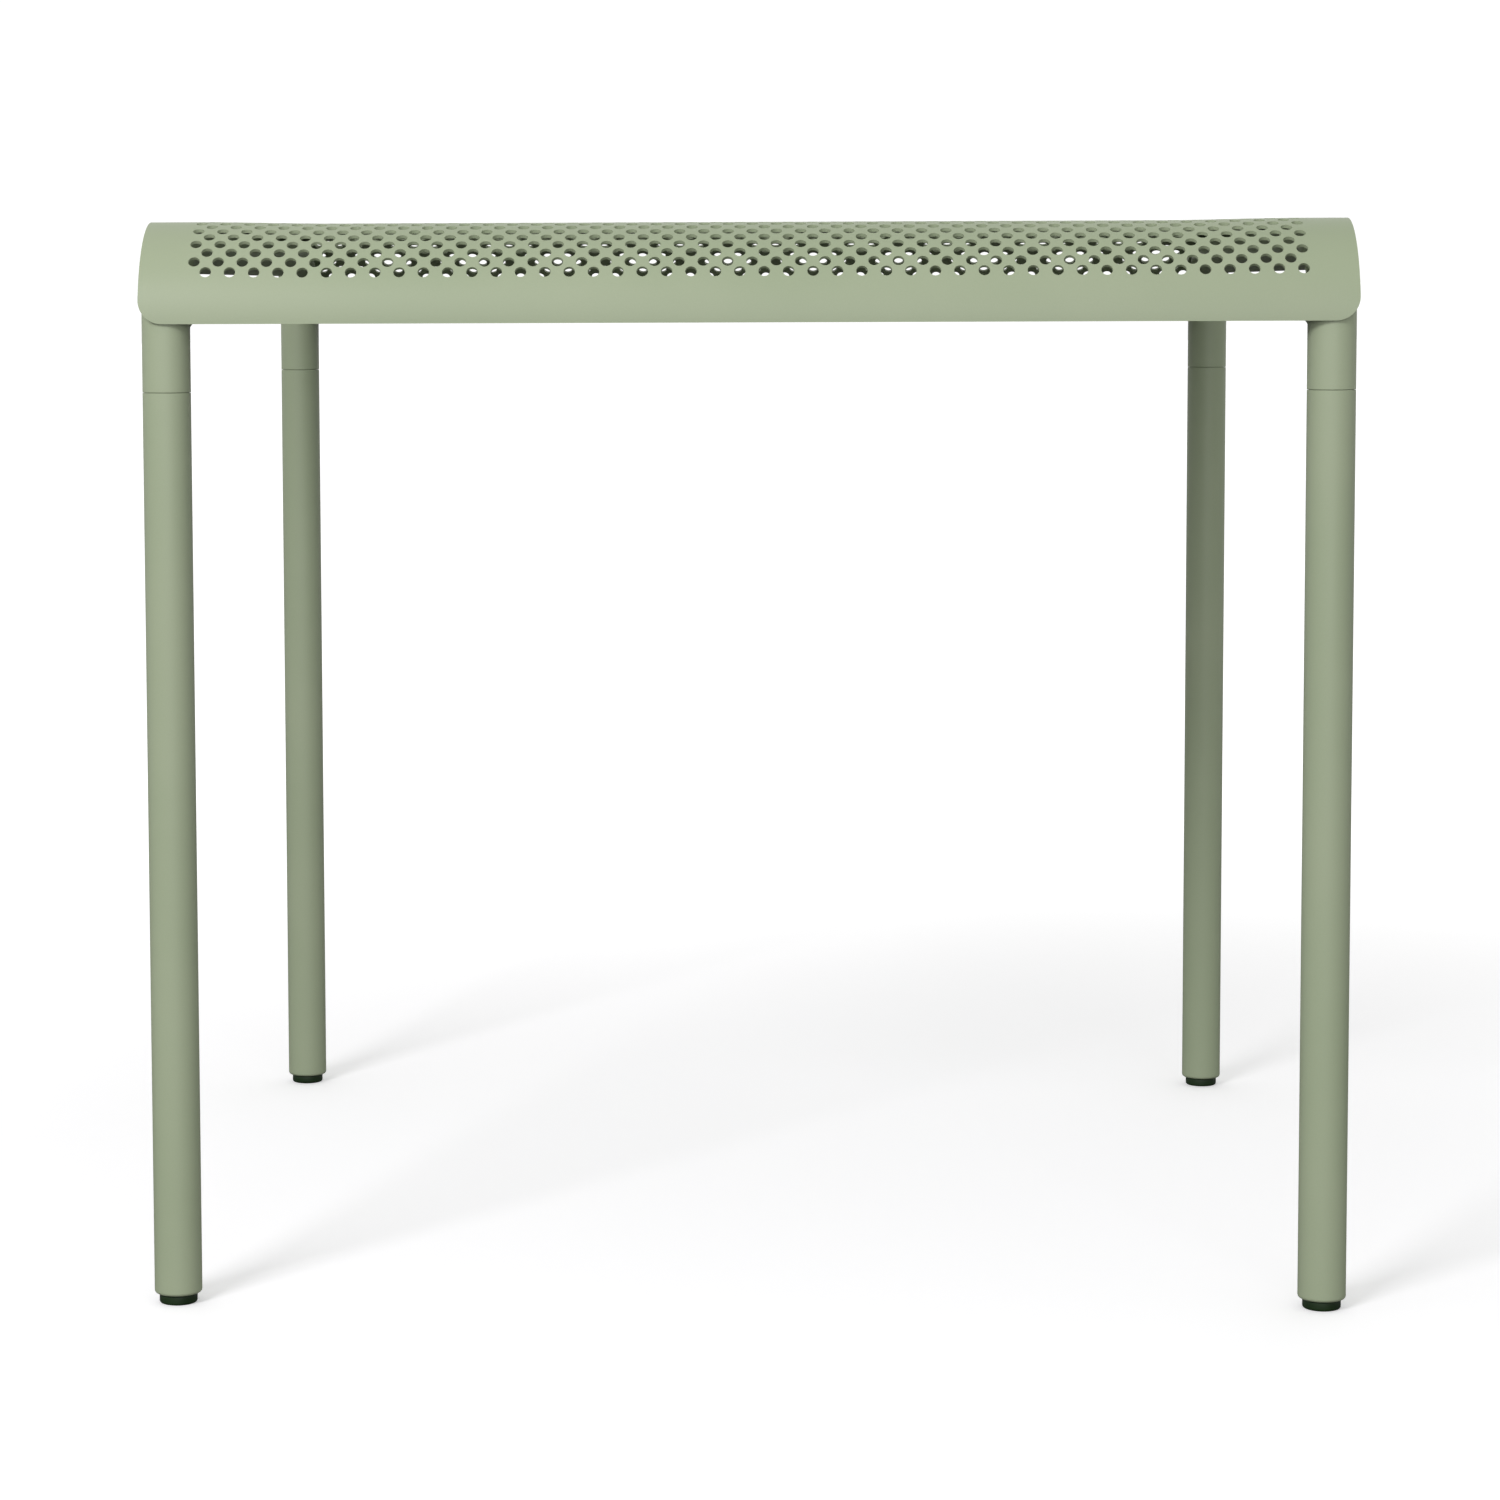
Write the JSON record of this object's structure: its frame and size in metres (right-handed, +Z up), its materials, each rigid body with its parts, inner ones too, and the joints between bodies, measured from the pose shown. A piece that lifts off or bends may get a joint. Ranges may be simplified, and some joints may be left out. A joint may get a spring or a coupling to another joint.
{
  "type": "backless bench",
  "caption": "Short backless outdoor bench: perforated sheet seat folded down front and back over bent tube side frames, straight tubular legs with screw feet.",
  "frame": {"origin": "on the floor, at the centre of the footprint", "axes": "+X to the right along the seat as seen from the front, +Y from front to back, +Z up"},
  "size_m": [0.5, 0.488, 0.454],
  "materials": {
    "powder_coat": "satin powder coat, fine texture",
    "zinc_steel": "zinc plated",
    "foot_plastic": "matte"
  },
  "bodies": {
    "bench": {"seat_panel": "powder_coat", "side_frame_left": "powder_coat", "side_frame_right": "powder_coat", "front_rail": "powder_coat", "back_rail": "powder_coat", "leg_front_left": "powder_coat", "leg_front_right": "powder_coat", "leg_back_left": "powder_coat", "leg_back_right": "powder_coat", "stub_insert_front_left": "zinc_steel", "stub_insert_front_right": "zinc_steel", "stub_insert_back_left": "zinc_steel", "stub_insert_back_right": "zinc_steel", "leg_top_plug_front_left": "zinc_steel", "leg_top_plug_front_right": "zinc_steel", "leg_top_plug_back_left": "zinc_steel", "leg_top_plug_back_right": "zinc_steel", "leg_stud_front_left": "zinc_steel", "leg_stud_front_right": "zinc_steel", "leg_stud_back_left": "zinc_steel", "leg_stud_back_right": "zinc_steel", "leg_end_cap_front_left": "powder_coat", "leg_end_cap_front_right": "powder_coat", "leg_end_cap_back_left": "powder_coat", "leg_end_cap_back_right": "powder_coat"},
    "foot_front_left": {"foot_pad_front_left": "foot_plastic", "foot_stud_front_left": "zinc_steel"},
    "foot_front_right": {"foot_pad_front_right": "foot_plastic", "foot_stud_front_right": "zinc_steel"},
    "foot_back_left": {"foot_pad_back_left": "foot_plastic", "foot_stud_back_left": "zinc_steel"},
    "foot_back_right": {"foot_pad_back_right": "foot_plastic", "foot_stud_back_right": "zinc_steel"}
  },
  "joints": [
    {"name": "foot_front_left_screw", "type": "slide", "parent": "bench", "child": "foot_front_left", "axis": [0, 0, -1], "range_m": [0, 0.01]},
    {"name": "foot_front_right_screw", "type": "slide", "parent": "bench", "child": "foot_front_right", "axis": [0, 0, -1], "range_m": [0, 0.01]},
    {"name": "foot_back_left_screw", "type": "slide", "parent": "bench", "child": "foot_back_left", "axis": [0, 0, -1], "range_m": [0, 0.01]},
    {"name": "foot_back_right_screw", "type": "slide", "parent": "bench", "child": "foot_back_right", "axis": [0, 0, -1], "range_m": [0, 0.01]}
  ]
}
